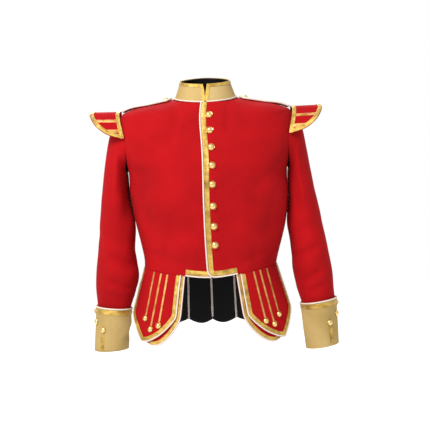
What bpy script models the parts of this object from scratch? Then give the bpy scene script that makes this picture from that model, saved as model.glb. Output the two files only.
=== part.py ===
"""A pipe band doublet, the short wool jacket that a piper or drummer wears, filled out as if worn.

Metres, +Z up. The front faces -Y and +X is the wearer's left. The origin is the middle of the
neck's base, where the wearer's shoulders carry the jacket. Left and right mean the wearer's.
"""

import functools
import math

import bmesh
import bpy
from mathutils import Vector

# Walls, and the gap that two pieces keep at a seam
WOOL = 0.0022
LINED = 0.0028
LINING = 0.0010
SEAM = 0.0003
LIFT = 0.0006

# Trimmings: half-inch metal braid, cord piping and two sizes of domed button
BRAID_WIDTH = 0.0127
BRAID_RISE = 0.0012
PIPING_WIDTH = 0.0044
PIPING_RISE = 0.0024
STRIPE_WIDTH = 0.0052
LARGE_BUTTON = 0.0095
SMALL_BUTTON = 0.0080
BUTTON_HEIGHT = 0.0066
BUTTON_SIDES = 10
BUTTON_PROFILE = (
    (0, 1), (0.5, 0.9), (0.85, 0.6), (1, 0.33), (0.97, 0.24), (0.28, 0.24), (0.28, 0), (0, 0)
)

# Levels of the body from the hem up: heights at front, side and back, half width, depth to the
# front and to the back, how square the level is, how evenly its height runs round, how far it
# sways to the left, and where the overlapping front's edge runs
BODY = (
    ("hem", -0.467, -0.443, -0.452, 0.1780, 0.121, 0.108, 2.2, 2.0, -0.002, -0.0107),
    ("waist", -0.437, -0.418, -0.424, 0.1805, 0.122, 0.109, 2.2, 2.0, 0.001, -0.0118),
    ("ribs", -0.375, -0.365, -0.368, 0.1935, 0.130, 0.115, 2.3, 2.0, 0.0035, -0.0140),
    ("midriff", -0.305, -0.303, -0.305, 0.2075, 0.137, 0.122, 2.4, 2.0, 0.0035, -0.0150),
    ("chest", -0.238, -0.240, -0.238, 0.2120, 0.140, 0.128, 2.5, 2.0, 0.001, -0.0152),
    ("armpit", -0.178, -0.186, -0.172, 0.2140, 0.136, 0.130, 2.6, 2.0, 0.0, -0.0140),
    ("armhole", -0.118, -0.106, -0.105, 0.2330, 0.125, 0.122, 2.9, 2.0, 0.0, -0.0150),
    ("shoulder", -0.068, -0.028, -0.040, 0.2230, 0.104, 0.100, 3.0, 2.0, 0.0, -0.0180),
    ("half shoulder", -0.036, -0.0085, -0.009, 0.1500, 0.088, 0.080, 2.6, 1.5, 0.0, -0.0170),
    ("neck", -0.009, 0.007, 0.018, 0.0830, 0.072, 0.062, 2.2, 1.0, 0.0, -0.0130),
)
ARMPIT = 5
SHOULDER = 7
NECK = 9
ARMHOLE_CUT = 19.0
OVERLAP_RISE = 0.0027
OVERLAP_FULL = 0.014
OVERLAP_GONE = 0.045
UNDERLAP = 0.010
CORNER = 0.012
BUTTON_INSET = 0.0255
FRONT_BUTTON_HEIGHTS = (-0.044, -0.085, -0.128, -0.175, -0.224, -0.280, -0.332, -0.381)

# Levels of the standing collar, in the body's columns; the last is half the gap at its ends
COLLAR = (
    ("base", -0.009, 0.007, 0.018, 0.0830, 0.072, 0.062, 2.2, 1.0, 0.0, 0.0002),
    ("middle", 0.016, 0.030, 0.042, 0.0745, 0.066, 0.061, 2.1, 1.0, 0.0, 0.0006),
    ("top", 0.040, 0.053, 0.066, 0.0668, 0.059, 0.059, 2.1, 1.0, 0.0, 0.0056),
)
COLLAR_BRAID = 0.0085

# Sections of each sleeve after the armhole: the outer and the inner point, then where the middle
# lies front to back and half the depth
SLEEVES = {
    "right": (
        ("cap", 0.2570, -0.070, 0.2150, -0.203, 0.002, 0.068),
        ("upper arm", 0.2730, -0.140, 0.2140, -0.236, 0.002, 0.067),
        ("lower cap", 0.2860, -0.222, 0.2085, -0.275, 0.001, 0.065),
        ("above elbow", 0.2960, -0.312, 0.2030, -0.330, 0.000, 0.063),
        ("elbow", 0.3035, -0.392, 0.2045, -0.395, -0.002, 0.062),
        ("fold", 0.3120, -0.458, 0.1945, -0.454, -0.006, 0.062),
        ("forearm", 0.3125, -0.503, 0.2030, -0.503, -0.012, 0.058),
        ("wrist", 0.3085, -0.542, 0.2215, -0.549, -0.018, 0.0505),
        ("in cuff", 0.3085, -0.560, 0.2225, -0.564, -0.0190, 0.0504),
    ),
    "left": (
        ("cap", 0.2560, -0.070, 0.2150, -0.203, 0.002, 0.068),
        ("upper arm", 0.2700, -0.150, 0.2150, -0.236, 0.002, 0.067),
        ("lower cap", 0.2820, -0.225, 0.2130, -0.275, 0.001, 0.065),
        ("above elbow", 0.3010, -0.318, 0.2120, -0.335, 0.000, 0.063),
        ("elbow", 0.3170, -0.408, 0.2165, -0.405, -0.002, 0.062),
        ("fold", 0.3280, -0.478, 0.2200, -0.466, -0.006, 0.061),
        ("forearm", 0.3280, -0.512, 0.2270, -0.507, -0.012, 0.058),
        ("wrist", 0.3295, -0.540, 0.2400, -0.550, -0.018, 0.0505),
        ("in cuff", 0.3300, -0.556, 0.2415, -0.565, -0.0190, 0.0513),
    ),
}
# Sleeve against the body: its clearance, the gap that it closes up, and where it leaves the body
ARM_CLEARANCE = 0.0010
ARM_HUG = 0.024
ARM_LEAVES = -0.385
# Degrees that each half's edge keeps back from the sleeve's seams
SLEEVE_GAP = 0.2
CUFFS = {
    "right": (
        ("top", 0.3135, -0.539, 0.2175, -0.549, -0.018, 0.0555),
        ("middle", 0.3180, -0.599, 0.2230, -0.604, -0.021, 0.0545),
        ("bottom", 0.3225, -0.659, 0.2290, -0.657, -0.024, 0.0535),
    ),
    "left": (
        ("top", 0.3345, -0.537, 0.2355, -0.551, -0.018, 0.0555),
        ("middle", 0.3360, -0.598, 0.2410, -0.612, -0.021, 0.0545),
        ("bottom", 0.3370, -0.660, 0.2470, -0.673, -0.024, 0.0535),
    ),
}
CUFF_BUTTONS = (("front", 62.0, 0.50), ("middle", 26.0, 0.36), ("back", -10.0, 0.18))

# How the flaps hang below the hem: angle round the body, how far they flare and lean to the side
FRONT_HANG = (
    ("centre", 0.0, 0.10, 0.08),
    ("inner edge", 30.0, 0.14, 0.10),
    ("middle", 60.0, 0.21, 0.13),
    ("side", 90.0, 0.31, -0.22),
)
BACK_HANG = (
    ("side", 90.0, 0.18, 0.00),
    ("quarter", 120.0, 0.15, 0.00),
    ("back quarter", 150.0, 0.10, 0.00),
    ("centre back", 180.0, 0.08, 0.00),
)
# Flaps: which hang they follow, the angles they span, the lengths at the first edge, at the
# point and at the last edge, where the point lies across, how far in they are set, how far they
# reach up inside the hem, and how straight the edge runs from the point to the last edge
FLAPS = (
    ("front_flap", FRONT_HANG, 34.5, 88.0, 0.112, 0.190, 0.126, 0.56, 0.0, 0.0, 1.2),
    ("under_flap", FRONT_HANG, 30.5, 76.0, 0.116, 0.196, 0.140, 0.52, 0.0040, 0.010, 1.4),
    ("side_tail", BACK_HANG, 88.0, 148.0, 0.168, 0.176, 0.154, 0.45, 0.0, 0.0, 1.9),
    ("back_tail", BACK_HANG, 148.0, 180.0, 0.154, 0.166, 0.154, 0.50, 0.0, 0.0, 1.9),
)
# The right flap's point lies a little nearer the middle than the left one's
POINT_SHIFT = {"left": 0.0, "right": -0.05}
# Stripes of each front flap: where they lie across, and how far down they reach
FLAP_STRIPES = ((0.265, 0.81), (0.390, 0.82), (0.540, 0.675))
STRIPE_RISE = 0.0012
FLAP_GAP = 0.05

# Wings: how far they reach out and round, and how they stand up towards the edge and at the seam
WING_WIDTH = 0.081
WING_END = 78.0
WING_RISE = 0.001
WING_SEAT = 0.007
WING_LEAN = 0.17
WING_LIFT = 0.0008
WING_STRIPES = (-46.0, -16.0, 14.0, 44.0)
DEGREES_PER_STRIPE = 1.8

STRAP_HALF = 0.023
STRAP_RISE = 0.0024
STRAP_LIFT = 0.0008
STRAP_FROM = 7.08
STRAP_TO = 8.80

# Grid lines of the body and the sleeves, which share their points round the armhole
ARMHOLE_LINES = (5.0, 5.12, 5.3, 5.6, 6.0, 6.4, 6.7, 6.88, 7.0)
BODY_LINES = (0, 0.5, 1, 1.7, 2.4, 3.1, 3.8, 4.4) + ARMHOLE_LINES + (7.5, 8.0, 8.5, 9.0)
SLEEVE_LINES = (0, 0.3, 0.65, 1, 1.5, 2, 2.5, 3, 3.5, 4, 4.5, 5, 5.5, 6, 6.5, 7, 8, 9)
FRONT_LINES = (0, 0.07, 0.14, 0.21, 0.28, 0.40, 0.52, 0.64, 0.76, 0.86, 0.94, 1)
BACK_LINES = (0, 0.06, 0.14, 0.25, 0.38, 0.52, 0.68, 0.84, 1)


def clear_scene():
    for obj in list(bpy.data.objects):
        bpy.data.objects.remove(obj, do_unlink=True)


def linear(hex_colour):
    channels = [int(hex_colour[k : k + 2], 16) / 255 for k in (0, 2, 4)]
    return [c / 12.92 if c <= 0.04045 else ((c + 0.055) / 1.055) ** 2.4 for c in channels] + [1]


def material(name, hex_colour, roughness, metallic):
    made = bpy.data.materials.new(name)
    made.use_nodes = True
    shader = made.node_tree.nodes["Principled BSDF"]
    shader.inputs["Base Color"].default_value = linear(hex_colour)
    shader.inputs["Roughness"].default_value = roughness
    shader.inputs["Metallic"].default_value = metallic
    return made


def evenly(first, last, count):
    return [first + (last - first) * k / count for k in range(count + 1)]


def mix(a, b, share):
    return a + (b - a) * share


def ease(share):
    share = min(max(share, 0.0), 1.0)
    return share * share * (3 - 2 * share)


def spline(a, b, c, d, share):
    """A curve from b to c, with a before them and d after."""
    bend = share * (3 * (b - c) + d - a) + 2 * a - 5 * b + 4 * c - d
    return b + 0.5 * share * (c - a + share * bend)


def smooth(values, place):
    """The value at a place among evenly spaced ones, on a smooth curve through them."""
    last = len(values) - 1
    k = min(max(int(place), 0), last - 1)
    picked = [values[min(max(i, 0), last)] for i in range(k - 1, k + 3)]
    return spline(*picked, place - k)


@functools.lru_cache(maxsize=None)
def level(rows, place):
    return [smooth(column, place) for column in list(zip(*rows))[1:]]


def lifted(surface, a, b, out):
    """The surface's point at (a, b), moved out along its normal."""
    return surface(a, b) + outward(surface, a, b) * out


def outward(surface, a, b):
    step = 0.05
    across = surface(a + step, b) - surface(a - step, b)
    along = surface(a, b + step) - surface(a, b - step)
    return across.cross(along).normalized()


def ring(row, degrees):
    """A point of one level, where 0 degrees is centre front and 90 the wearer's left side."""
    z_front, z_side, z_back, half_width, front, back, square, even, sway = row[:9]
    across, along = math.sin(math.radians(degrees)), math.cos(math.radians(degrees))
    depth, z_end = (front, z_front) if along > 0 else (back, z_back)
    reach = (abs(across) / half_width) ** square + (abs(along) / depth) ** square
    radius = reach ** (-1 / square)
    z = mix(z_side, z_end, abs(along) ** even)
    return Vector((radius * across + sway, -radius * along, z))


def body(degrees, t):
    return ring(level(BODY, t), degrees)


def collar(degrees, t):
    return ring(level(COLLAR, t), degrees)


def front_angle(x, t):
    """The angle round the body at which its front lies x from the middle."""
    row = level(BODY, t)
    return math.degrees(math.atan2(x - row[8], row[4]))


def edge_place(t):
    return level(BODY, t)[9]


def front_edge(t):
    """How far the overlapping front reaches, with its bottom corner rounded off."""
    short = max(0.0, CORNER - height(t))
    return edge_place(t) + CORNER - math.sqrt(CORNER**2 - short**2)


def height(t):
    """Height above the hem, at centre front."""
    return level(BODY, t)[0] - BODY[0][1]


def row_at(above_hem):
    """The place among the body's levels at a height above the hem."""
    low, high = 0.0, float(NECK)
    for _ in range(30):
        middle = (low + high) / 2
        low, high = (middle, high) if height(middle) < above_hem else (low, middle)
    return low


def overlap(degrees, t):
    """The left front, which rises over the right one where they lap."""
    row = level(BODY, t)
    x = row[8] + row[4] * math.tan(math.radians(min(degrees, 60.0)))
    fade = ease((OVERLAP_GONE - x) / (OVERLAP_GONE - OVERLAP_FULL))
    return lifted(body, degrees, t, OVERLAP_RISE * fade)


def seam_angle(surface, degrees, t, share=0.5):
    """Half a seam's gap, as an angle at that place."""
    place = surface(degrees, t)
    return math.degrees(SEAM * share / math.hypot(place.x, place.y))


def armhole_angle(t):
    """How far the armhole cuts in from the side seam and the shoulder seam."""
    if not ARMPIT < t < SHOULDER:
        return 0.0
    share = (t - ARMPIT) / (SHOULDER - ARMPIT)
    return ARMHOLE_CUT * math.sin(math.pi * share) ** 0.6


def sheet(name, lines_a, lines_b, outer, inner, finish):
    """A closed wall between an outer and an inner skin, which are functions of two places."""
    bm = bmesh.new()
    across, along = len(lines_a) - 1, len(lines_b) - 1
    bmesh.ops.create_grid(bm, x_segments=across, y_segments=along, size=1)
    wall = bmesh.ops.extrude_face_region(bm, geom=bm.faces[:], use_keep_orig=True)
    inside = {item for item in wall["geom"] if isinstance(item, bmesh.types.BMVert)}
    for vert in bm.verts:
        a = lines_a[round((vert.co.x + 1) / 2 * across)]
        b = lines_b[round((vert.co.y + 1) / 2 * along)]
        vert.co = (inner if vert in inside else outer)(a, b)
    bmesh.ops.recalc_face_normals(bm, faces=bm.faces)
    if bm.calc_volume(signed=True) < 0:
        bmesh.ops.reverse_faces(bm, faces=bm.faces)
    mesh = bpy.data.meshes.new(name)
    bm.to_mesh(mesh)
    bm.free()
    mesh.shade_smooth()
    mesh.set_sharp_from_angle(angle=math.radians(50))
    return place(name, mesh, finish)


def place(name, mesh, finish):
    obj = bpy.data.objects.new(name, mesh)
    mesh.materials.append(finish)
    jacket.objects.link(obj)
    return obj


def wall(surface, thickness, relief=None):
    """Outer and inner skin of a wall, with an optional relief on the outer one."""

    def outer(a, b):
        return lifted(surface, a, b, relief(a, b) if relief else 0.0)

    def inner(a, b):
        return lifted(surface, a, b, -thickness)

    return outer, inner


def strip(name, surface, near, far, count, rise, rounded, finish):
    """A strip that lies on a surface between two lines, each a function of a share from 0 to 1."""
    widths = (0.0, 0.5, 1.0) if rounded else (0.0, 1.0)

    def spot(share, width):
        (a, b), (c, d) = near(share), far(share)
        return mix(a, c, width), mix(b, d, width)

    def outer(share, width):
        crown = 0.45 + 0.55 * math.sin(math.pi * min(max(width, 0.0), 1.0)) if rounded else 1.0
        return lifted(surface, *spot(share, width), LIFT + rise * crown)

    def inner(share, width):
        return lifted(surface, *spot(share, width), LIFT)

    return sheet(name, evenly(0, 1, count), widths, outer, inner, finish)


def button(name, radius, seat, facing):
    """A domed button on its shank: a profile from the crown to the shank's foot, turned."""
    bm = bmesh.new()
    verts = [bm.verts.new((x * radius, 0, z * BUTTON_HEIGHT)) for x, z in BUTTON_PROFILE]
    for first, second in zip(verts, verts[1:]):
        bm.edges.new((first, second))
    mesh = bpy.data.meshes.new(name)
    bm.to_mesh(mesh)
    bm.free()
    obj = place(name, mesh, GILT)
    obj.location = seat
    obj.rotation_euler = facing.to_track_quat("Z", "Y").to_euler()
    turned = obj.modifiers.new("turned", "SCREW")
    turned.steps = turned.render_steps = BUTTON_SIDES
    turned.use_merge_vertices = True
    turned.merge_threshold = 0.00001
    return obj


def button_on(surface, a, b, out, name, radius):
    button(name, radius, lifted(surface, a, b, out), outward(surface, a, b))


def make_fronts():
    """The left front laps over the right one, which runs on a little under it."""

    def left_angle(share, t):
        side = 90.0 - armhole_angle(t) - seam_angle(body, 90.0, t)
        return mix(front_angle(front_edge(t), t), side, share)

    def left(share, t, out):
        return lifted(overlap, left_angle(share, t), t, out)

    def right_angle(share, t):
        side = 90.0 - armhole_angle(t) - seam_angle(body, 90.0, t)
        return mix(front_angle(UNDERLAP, t), -side, share)

    def right(share, t, out):
        return lifted(body, right_angle(share, t), t, out)

    for name, skin in (("front_left", left), ("front_right", right)):
        outer = lambda share, t, skin=skin: skin(share, t, 0.0)
        inner = lambda share, t, skin=skin: skin(share, t, -WOOL)
        sheet(name, FRONT_LINES, BODY_LINES, outer, inner, RED_WOOL)


def make_backs():
    """Two backs, seamed down the middle, at the sides and along the shoulders."""
    for name, side in (("back_left", 1), ("back_right", -1)):

        def angle(share, t, side=side):
            first = 90.0 + armhole_angle(t) + seam_angle(body, 90.0, t)
            return side * mix(first, 180.0 - seam_angle(body, 180.0, t), share)

        outer = lambda share, t, angle=angle: body(angle(share, t), t)
        inner = lambda share, t, angle=angle: lifted(body, angle(share, t), t, -WOOL)
        sheet(name, BACK_LINES, BODY_LINES, outer, inner, RED_WOOL)


def armhole(side, degrees):
    """The angle round the body and the level of the armhole's edge: 0 degrees is the shoulder."""
    t = SHOULDER - abs(degrees) / 90.0
    cut = armhole_angle(t) * (1 if degrees * side > 0 else -1)
    return side * (90.0 - cut), t


def flank(side, y, z):
    """How far out the body's side reaches at a place below the armpit."""
    low, high = 0.0, float(ARMPIT)
    for _ in range(14):
        middle = (low + high) / 2
        low, high = (middle, high) if level(BODY, middle)[1] < z else (low, middle)
    _, _, _, half_width, front, back, square, _, sway = level(BODY, low)[:9]
    share = min(abs(y) / (front if y < 0 else back), 1.0)
    return half_width * (1 - share**square) ** (1 / square) + side * sway


def section(side, row, degrees):
    """A point of a sleeve's or cuff's section: 0 degrees is outermost, the front is at 90 * side."""
    x_out, z_out, x_in, z_in, y, half_depth = row
    turn = math.radians(degrees)
    x = mix(x_in, x_out, 0.5 + 0.5 * math.cos(turn))
    z = mix(z_in, z_out, 0.5 + 0.5 * math.cos(turn))
    y -= half_depth * math.sin(turn * side)
    return Vector((side * x, y, z))


def sleeve_surface(side, rows):
    """The sleeve lies against the body below the armpit, and leaves it above the elbow."""

    def surface(degrees, s):
        start = body(*armhole(side, degrees))
        rings = [start] + [section(side, row[1:], degrees) for row in rows]
        point = smooth(rings, s)
        if s > 0 and abs(degrees) > 90 and BODY[0][2] < point.z < BODY[ARMPIT][2]:
            against = flank(side, point.y, point.z) + ARM_CLEARANCE
            apart = max(side * point.x - against, 0.0)
            near = ease((abs(degrees) - 90) / 30) * ease((point.z - ARM_LEAVES) / 0.05)
            point.x = side * (against + mix(apart, apart * ease(apart / ARM_HUG), near))
        return point

    return surface


def tube_surface(side, rows):
    def surface(degrees, t):
        return section(side, level(rows, t), degrees)

    return surface


def make_sleeves():
    """Each sleeve has a top and an under half, set into the armhole on its whole edge."""
    for hand, side in SIDES:
        rows = SLEEVES[hand]
        surface = sleeve_surface(side, rows)

        def skin(degrees, s, out, surface=surface, side=side):
            own = outward(surface, degrees, max(s, 0.06))
            at_edge = outward(body, *armhole(side, degrees))
            facing = at_edge.lerp(own, ease(s)).normalized()
            gap = SEAM * max(0.0, 1 - s)
            leaving = (surface(degrees, s + 0.05) - surface(degrees, s)).normalized()
            return surface(degrees, s) + facing * out + leaving * gap

        half = [90.0 * (SHOULDER - t) for t in reversed(ARMHOLE_LINES)]
        rounds = [-d for d in reversed(half)] + half[1:]
        top = [d for d in rounds if abs(d) <= 90]
        under = [d for d in rounds if d >= 90] + [d + 360 for d in rounds if -180 < d <= -90]
        for kind, degrees in (("sleeve_top", top), ("sleeve_under", under)):
            # Each half stops short of the seam with the other
            edges = [degrees[0] + SLEEVE_GAP] + degrees[1:-1] + [degrees[-1] - SLEEVE_GAP]
            wrap = lambda d: d - 360 if d > 180 else d
            outer = lambda d, s, skin=skin, wrap=wrap: skin(wrap(d), s, 0.0)
            inner = lambda d, s, skin=skin, wrap=wrap: skin(wrap(d), s, -WOOL)
            sheet(f"{kind}_{hand}", edges, SLEEVE_LINES, outer, inner, RED_WOOL)


def make_cuffs():
    """Deep buff cuffs, piped and braided at the top, each with three buttons."""
    for hand, side in SIDES:
        surface = tube_surface(side, CUFFS[hand])
        first, last = -179.8, 179.8
        outer, inner = wall(surface, LINED)
        sheet(f"cuff_{hand}", evenly(first, last, 20), evenly(0, 2, 4), outer, inner, BUFF_WOOL)
        length = (surface(90, 0) - surface(90, 2)).length
        per_metre = 2 / length

        def line(down, first=first, last=last, per_metre=per_metre):
            return lambda share: (mix(first, last, share), down * per_metre)

        piped, braided = PIPING_WIDTH, PIPING_WIDTH + SEAM
        name = f"cuff_piping_{hand}"
        strip(name, surface, line(0), line(piped), 20, PIPING_RISE, True, WHITE_CORD)
        ends = line(braided), line(braided + BRAID_WIDTH)
        strip(f"cuff_braid_{hand}", surface, *ends, 20, BRAID_RISE, False, GOLD_BRAID)
        for label, degrees, down in CUFF_BUTTONS:
            name = f"cuff_button_{label}_{hand}"
            button_on(surface, degrees * side, 2 * down, SEAM, name, SMALL_BUTTON)


def make_collar():
    """A standing collar that closes at its base and opens in a narrow V, lined in black."""

    def open_angle(t):
        row = level(COLLAR, t)
        return math.degrees(math.atan2(row[9], row[4]))

    def spot(share, t):
        return mix(open_angle(t), 360.0 - open_angle(t), share), t

    def skin(out, rise):
        return lambda share, t: lifted(collar, *spot(share, t), out) + Vector((0, 0, rise))

    # The wall stands just clear of the body's neck edge
    lines = evenly(0, 2, 3)
    rounds = evenly(0, 1, 32)
    sheet("collar", rounds, lines, skin(0, LIFT), skin(-WOOL, LIFT), BUFF_WOOL)
    inside = -WOOL - SEAM
    lower = evenly(0.04, 1.96, 3)
    sheet("collar_lining", rounds, lower, skin(inside, 0), skin(inside - LINING, 0), BLACK_LINING)

    # The braid runs up one end, round the top edge and down the other end
    per_metre = 2 / 0.05
    ends, top = 3, 32

    def border(inset):
        def at(share):
            step = share * (2 * ends + top)
            down = 2 - 0.02 - inset * per_metre
            if step < ends:
                t = mix(0.2, down, step / ends)
            elif step > ends + top:
                t = mix(down, 0.2, (step - ends - top) / ends)
            else:
                t = down
            row = level(COLLAR, t)
            edge = math.degrees(math.atan2(row[9] + inset, row[4])) + 0.2
            round_share = min(max((step - ends) / top, 0.0), 1.0)
            return mix(edge, 360.0 - edge, round_share), t

        return at

    count = 2 * ends + top
    raised = lambda degrees, t: collar(degrees, t) + Vector((0, 0, LIFT))
    strip("collar_braid", raised, border(0), border(COLLAR_BRAID), count, BRAID_RISE, False, GOLD_BRAID)

    def base(t):
        return lambda share: (mix(1.0, 359.0, share), t)

    strip("collar_piping", raised, base(0.03), base(0.18), 32, PIPING_RISE, True, WHITE_CORD)


def make_front_trim():
    """Piping and braid down the overlapping front and round its corner to the first flap."""
    down, turn, along = 22, 5, 5
    count = down + turn + along
    hem_end = BODY[0][6] * math.tan(math.radians(FLAPS[0][2] - 1.5))

    def border(inset):
        radius = max(CORNER - inset, 0.0004)
        centre_height = inset + radius

        def at(share):
            step = share * count
            if step <= down:
                above = mix(height(NECK) - 0.002, centre_height, step / down)
                t = row_at(above)
                x = edge_place(t) + inset
            elif step <= down + turn:
                quarter = math.pi / 2 * (step - down) / turn
                t = row_at(centre_height - radius * math.sin(quarter))
                x = edge_place(0) + inset + radius * (1 - math.cos(quarter))
            else:
                t = row_at(inset)
                start = edge_place(0) + inset + radius
                x = mix(start, hem_end, (step - down - turn) / along)
            return front_angle(x, t), t

        return at

    piping = border(0.0003), border(PIPING_WIDTH)
    strip("front_piping", overlap, *piping, count, PIPING_RISE, True, WHITE_CORD)
    braid = border(PIPING_WIDTH + SEAM), border(PIPING_WIDTH + SEAM + BRAID_WIDTH)
    strip("front_braid", overlap, *braid, count, BRAID_RISE, False, GOLD_BRAID)

    def hem_line(above):
        t = row_at(above)
        near = edge_place(0) - 0.0020
        return lambda share: (front_angle(mix(near, -hem_end, share), t), t)

    piping = hem_line(0.0003), hem_line(PIPING_WIDTH)
    strip("hem_piping", body, *piping, 6, PIPING_RISE, True, WHITE_CORD)
    braid = hem_line(PIPING_WIDTH + SEAM), hem_line(PIPING_WIDTH + SEAM + BRAID_WIDTH)
    strip("hem_braid", body, *braid, 6, BRAID_RISE, False, GOLD_BRAID)

    for number, z in enumerate(FRONT_BUTTON_HEIGHTS, 1):
        t = row_at(z - BODY[0][1])
        x = edge_place(t) + BUTTON_INSET
        button_on(overlap, front_angle(x, t), t, SEAM, f"front_button_{number}", LARGE_BUTTON)


def hanging(side, hang):
    """The surface on which flaps hang from the hem: its height is 0 at the hem and drops below."""

    def surface(degrees, above):
        place_in = [row[1] for row in hang]
        share = (abs(degrees) - place_in[0]) / (place_in[-1] - place_in[0]) * (len(hang) - 1)
        _, flare, lean = level(hang, share)
        out = outward(body, degrees, 0)
        out.z = 0
        out.normalize()
        to_side = Vector((-out.y, out.x, 0)) * side
        down = (Vector((0, 0, -1)) + out * flare + to_side * lean).normalized()
        return body(degrees, 0) - down * above

    return surface


def lifted_flap(surface, degrees, above, out):
    step, fine = 0.05, 0.002
    across = surface(degrees + step, above) - surface(degrees - step, above)
    along = surface(degrees, above + fine) - surface(degrees, above - fine)
    return surface(degrees, above) + across.cross(along).normalized() * out


def make_flaps():
    """Front, under, side and back flaps, lined, with their border and stripes raised."""
    for row in FLAPS:
        for hand, side in SIDES:
            make_flap(row, hand, side)


def make_flap(row, hand, side):
    name, hang, start, end, first, point, last, middle, inset, tucked, straight = row
    if hang is FRONT_HANG:
        middle += POINT_SHIFT[hand]
    surface = hanging(side, hang)
    front = name == "front_flap"

    def length(share):
        edge = first if share < middle else last
        span, power = (middle, 1.9) if share < middle else (1 - middle, straight)
        return edge + (point - edge) * (1 - (abs(share - middle) / span) ** power)

    def spot(share, down):
        degrees = side * mix(start + FLAP_GAP, end - FLAP_GAP, share)
        above = mix(tucked if tucked else -SEAM, -length(share), down)
        return degrees, above

    def skin(out):
        return lambda share, down: lifted_flap(surface, *spot(share, down), out)

    def relief(share, down):
        if not front:
            return 0.0
        for place_at, reach in FLAP_STRIPES:
            if abs(share - place_at) < stripe_half and down <= reach + 0.001:
                return STRIPE_RISE
        return 0.0

    width = (surface(side * end, 0) - surface(side * start, 0)).length * 1.08
    stripe_half = STRIPE_WIDTH / 2 / width
    across, along = evenly(0, 1, 10 if inset else 6), evenly(0, 1, 5)
    if front:
        across = [0, 0.10, 0.19]
        for place_at, _ in FLAP_STRIPES:
            for offset in (-1.25, -0.99, 0.99, 1.25):
                across.append(place_at + offset * stripe_half)
        across += [0.70, 0.85, 1]
        along = sorted({*evenly(0, 0.5, 3), 0.92, 1.0, *(reach for _, reach in FLAP_STRIPES)})
    outer = lambda share, down: lifted_flap(surface, *spot(share, down), relief(share, down) - inset)
    inner = skin(-inset - (LINED if not inset else WOOL))
    sheet(f"{name}_{hand}", across, along, outer, inner, RED_WOOL)
    if not front:
        return

    # The braid borders the flap down one edge, round its point and up the other edge
    ends, foot = 6, 12
    count = 2 * ends + foot

    def border(inset_by):
        def at(share):
            step = share * count
            side_share = inset_by / width
            if step < ends:
                across_at, down_at = side_share, step / ends
            elif step > ends + foot:
                across_at, down_at = 1 - side_share, (count - step) / ends
            else:
                across_at, down_at = mix(side_share, 1 - side_share, (step - ends) / foot), 1
            low = 1 - inset_by / length(across_at)
            degrees, above = spot(across_at, mix(0.03, low, down_at))
            return degrees, above

        return at

    def braid_skin(out):
        def at(share, width_share):
            (a, b), (c, d) = border(PIPING_WIDTH)(share), border(PIPING_WIDTH + BRAID_WIDTH)(share)
            return lifted_flap(surface, mix(a, c, width_share), mix(b, d, width_share), out)

        return at

    name = f"front_flap_braid_{hand}"
    skins = braid_skin(LIFT + BRAID_RISE), braid_skin(LIFT)
    sheet(name, evenly(0, 1, count), (0.0, 1.0), *skins, GOLD_BRAID)
    for number, (place_at, reach) in enumerate(FLAP_STRIPES, 1):
        degrees, above = spot(place_at, reach)
        seat = lifted_flap(surface, degrees, above, STRIPE_RISE + SEAM)
        facing = (seat - surface(degrees, above)).normalized()
        button(f"flap_button_{number}_{hand}", SMALL_BUTTON, seat, facing)


def make_wings():
    """Stiff crescents that stand out from the armhole seam over the sleeve's head."""
    for hand, side in SIDES:

        def width(degrees):
            return max(WING_WIDTH * math.sqrt(max(0.0, 1 - (degrees / WING_END) ** 2)), 0.006)

        def surface(degrees, share, side=side):
            spot = armhole(side, degrees)
            seat = lifted(body, *spot, WING_LIFT + LINED)
            turn = math.radians(degrees)
            out = width(degrees) * share
            forward = -WING_LEAN * math.sin(turn * side)
            rise = WING_RISE / WING_WIDTH * math.cos(turn) * out + WING_SEAT * math.cos(turn) ** 2
            return seat + Vector((side * out, forward * out, rise))

        def relief(degrees, share):
            for middle in WING_STRIPES:
                if abs(degrees * side - middle) < DEGREES_PER_STRIPE:
                    return STRIPE_RISE
            return 0.0

        rounds = [-WING_END, -70, -62, -54, -30, 0, 30, 54, 62, 70, WING_END]
        for middle in WING_STRIPES:
            for offset in (-1.25, -0.99, 0.99, 1.25):
                rounds.append(side * (middle + offset * DEGREES_PER_STRIPE))
        outer, inner = wall(surface, LINED, relief)
        sheet(f"wing_{hand}", sorted(rounds), evenly(0, 1, 3), outer, inner, RED_WOOL)

        def line(inset):
            def at(share):
                degrees = mix(-WING_END + 3, WING_END - 3, share)
                return degrees, max(1 - inset / width(degrees), 0.04)

            return at

        ends = line(0.0), line(BRAID_WIDTH)
        raised = lambda a, b, surface=surface: lifted(surface, a, b, STRIPE_RISE)
        strip(f"wing_braid_{hand}", raised, *ends, 24, BRAID_RISE, False, GOLD_BRAID)


def make_straps():
    """Shoulder straps, pointed at the neck end and buttoned there."""
    for hand, side in SIDES:

        def spot(across, t, side=side):
            taper = 1 - 0.8 * ease((t - STRAP_TO + 0.22) / 0.22)
            x = abs(body(90.0, t).x)
            return side * 90.0 + math.degrees(math.atan2(across * STRAP_HALF * taper, x)), t

        def outer(across, t, spot=spot):
            return lifted(body, *spot(across, t), STRAP_LIFT + STRAP_RISE)

        def inner(across, t, spot=spot):
            return lifted(body, *spot(across, t), STRAP_LIFT)

        lines = evenly(STRAP_FROM, STRAP_TO - 0.22, 6) + [STRAP_TO - 0.1, STRAP_TO]
        sheet(f"shoulder_strap_{hand}", evenly(-1, 1, 4), lines, outer, inner, RED_WOOL)
        out = STRAP_LIFT + STRAP_RISE + SEAM
        button_on(body, side * 90.0, STRAP_TO - 0.22, out, f"strap_button_{hand}", SMALL_BUTTON)


SIDES = (("left", 1), ("right", -1))

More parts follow.
